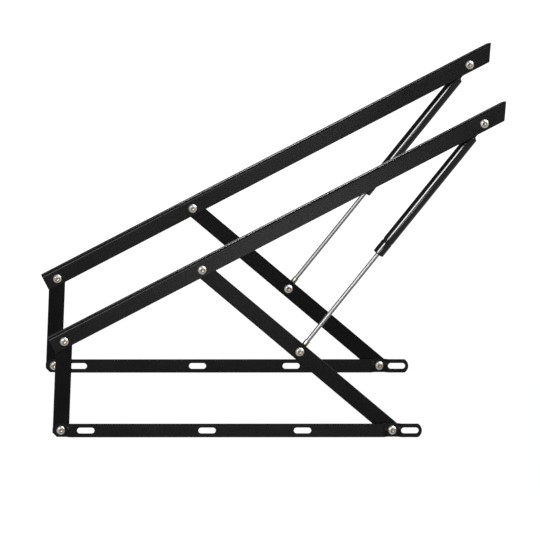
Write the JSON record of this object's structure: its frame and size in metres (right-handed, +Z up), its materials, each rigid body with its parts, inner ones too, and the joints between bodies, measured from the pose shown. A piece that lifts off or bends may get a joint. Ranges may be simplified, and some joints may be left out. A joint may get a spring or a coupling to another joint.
{
  "type": "bed lift mechanism",
  "caption": "Four-bar lift for a storage bed: slotted base rail, two links, long flanged arm and gas spring.",
  "frame": {"origin": "on the near rail's panel face, midway between its two outer slots", "axes": "+X along the rail towards its nose, +Y from the near side panel into the bed, +Z up"},
  "size_m": [0.8388, 0.9416, 0.62],
  "materials": {
    "black_coat": "satin",
    "plated_steel": "plated",
    "chromed_rod": "polished",
    "tube_lacquer": "gloss",
    "cast_metal": "plated",
    "bush_plastic": "matte",
    "seal_rubber": "matte"
  },
  "bodies": {
    "base": {"near_base_rail": "black_coat", "near_base_pivot_bolts": "plated_steel", "near_base_lock_nuts": "plated_steel", "far_base_rail": "black_coat", "far_base_pivot_bolts": "plated_steel", "far_base_lock_nuts": "plated_steel"},
    "near_rear_link": {"near_rear_link": "black_coat", "near_rear_link_bushes": "bush_plastic"},
    "near_front_link": {"near_front_link": "black_coat", "near_front_link_bushes": "bush_plastic", "near_front_link_upper_pin": "plated_steel", "near_front_link_lock_nut": "plated_steel", "near_spring_lower_bolt": "plated_steel", "near_spring_lower_spacer": "plated_steel"},
    "near_arm": {"near_top_arm": "black_coat", "near_arm_rear_bolt": "plated_steel", "near_arm_front_bolt": "plated_steel", "near_spring_upper_bolt": "plated_steel", "near_spring_upper_spacer": "plated_steel", "near_arm_lock_nuts": "plated_steel"},
    "near_tube": {"near_spring_tube": "tube_lacquer", "near_spring_end_plug": "plated_steel", "near_spring_upper_eye": "cast_metal", "near_rod_guide": "bush_plastic", "near_rod_seal": "seal_rubber", "near_rod_wiper": "seal_rubber"},
    "near_rod": {"near_piston_rod": "chromed_rod", "near_piston": "cast_metal", "near_piston_ring": "seal_rubber", "near_spring_lower_eye": "cast_metal", "near_spring_lower_pin": "plated_steel", "near_spring_lower_nut": "plated_steel"},
    "far_rear_link": {"far_rear_link": "black_coat", "far_rear_link_bushes": "bush_plastic"},
    "far_front_link": {"far_front_link": "black_coat", "far_front_link_bushes": "bush_plastic", "far_front_link_upper_pin": "plated_steel", "far_front_link_lock_nut": "plated_steel", "far_spring_lower_bolt": "plated_steel", "far_spring_lower_spacer": "plated_steel"},
    "far_arm": {"far_top_arm": "black_coat", "far_arm_rear_bolt": "plated_steel", "far_arm_front_bolt": "plated_steel", "far_spring_upper_bolt": "plated_steel", "far_spring_upper_spacer": "plated_steel", "far_arm_lock_nuts": "plated_steel"},
    "far_tube": {"far_spring_tube": "tube_lacquer", "far_spring_end_plug": "plated_steel", "far_spring_upper_eye": "cast_metal", "far_rod_guide": "bush_plastic", "far_rod_seal": "seal_rubber", "far_rod_wiper": "seal_rubber"},
    "far_rod": {"far_piston_rod": "chromed_rod", "far_piston": "cast_metal", "far_piston_ring": "seal_rubber", "far_spring_lower_eye": "cast_metal", "far_spring_lower_pin": "plated_steel", "far_spring_lower_nut": "plated_steel"}
  },
  "joints": [
    {"name": "near_lift", "type": "hinge", "parent": "base", "child": "near_front_link", "pos_m": [0.26525, 0.0115, 0], "axis": [0, -1, 0], "range_deg": [0, 26.35]},
    {"name": "near_rear_swing", "type": "hinge", "parent": "base", "child": "near_rear_link", "pos_m": [-0.34275, 0.0115, 0], "axis": [0, -1, 0], "range_deg": [0, 49.9]},
    {"name": "near_arm_tilt", "type": "hinge", "parent": "near_rear_link", "child": "near_arm", "pos_m": [-0.33687, 0.0115, 0.16389], "axis": [0, -1, 0], "range_deg": [-77.5, 0], "stiffness_Nm_per_rad": 3, "springref_deg": 171.89},
    {"name": "near_spring_swing", "type": "hinge", "parent": "near_arm", "child": "near_tube", "pos_m": [0.43235, 0.026, 0.56604], "axis": [0, -1, 0], "range_deg": [-14.72, 0]},
    {"name": "near_rod_slide", "type": "slide", "parent": "near_tube", "child": "near_rod", "axis": [0.6244, 0, 0.7811], "range_m": [0, 0.18084], "stiffness_N_per_m": 100, "springref_m": -0.5},
    {"name": "far_lift", "type": "hinge", "parent": "base", "child": "far_front_link", "pos_m": [0.26525, 0.9115, 0], "axis": [0, -1, 0], "range_deg": [0, 26.35]},
    {"name": "far_rear_swing", "type": "hinge", "parent": "base", "child": "far_rear_link", "pos_m": [-0.34275, 0.9115, 0], "axis": [0, -1, 0], "range_deg": [0, 49.9]},
    {"name": "far_arm_tilt", "type": "hinge", "parent": "far_rear_link", "child": "far_arm", "pos_m": [-0.33687, 0.9115, 0.16389], "axis": [0, -1, 0], "range_deg": [-77.5, 0], "stiffness_Nm_per_rad": 3, "springref_deg": 171.89},
    {"name": "far_spring_swing", "type": "hinge", "parent": "far_arm", "child": "far_tube", "pos_m": [0.43235, 0.926, 0.56604], "axis": [0, -1, 0], "range_deg": [-14.72, 0]},
    {"name": "far_rod_slide", "type": "slide", "parent": "far_tube", "child": "far_rod", "axis": [0.6244, 0, 0.7811], "range_m": [0, 0.18084], "stiffness_N_per_m": 100, "springref_m": -0.5}
  ],
  "couplings": [
    {"joint": "near_rear_swing", "follows": "near_lift", "ratio": 1.894},
    {"joint": "near_arm_tilt", "follows": "near_lift", "ratio": -2.9416},
    {"joint": "near_spring_swing", "follows": "near_lift", "ratio": -0.55869},
    {"joint": "near_rod_slide", "follows": "near_lift", "m_per_rad": 0.39328},
    {"joint": "far_rear_swing", "follows": "far_lift", "ratio": 1.894},
    {"joint": "far_arm_tilt", "follows": "far_lift", "ratio": -2.9416},
    {"joint": "far_spring_swing", "follows": "far_lift", "ratio": -0.55869},
    {"joint": "far_rod_slide", "follows": "far_lift", "m_per_rad": 0.39328}
  ]
}
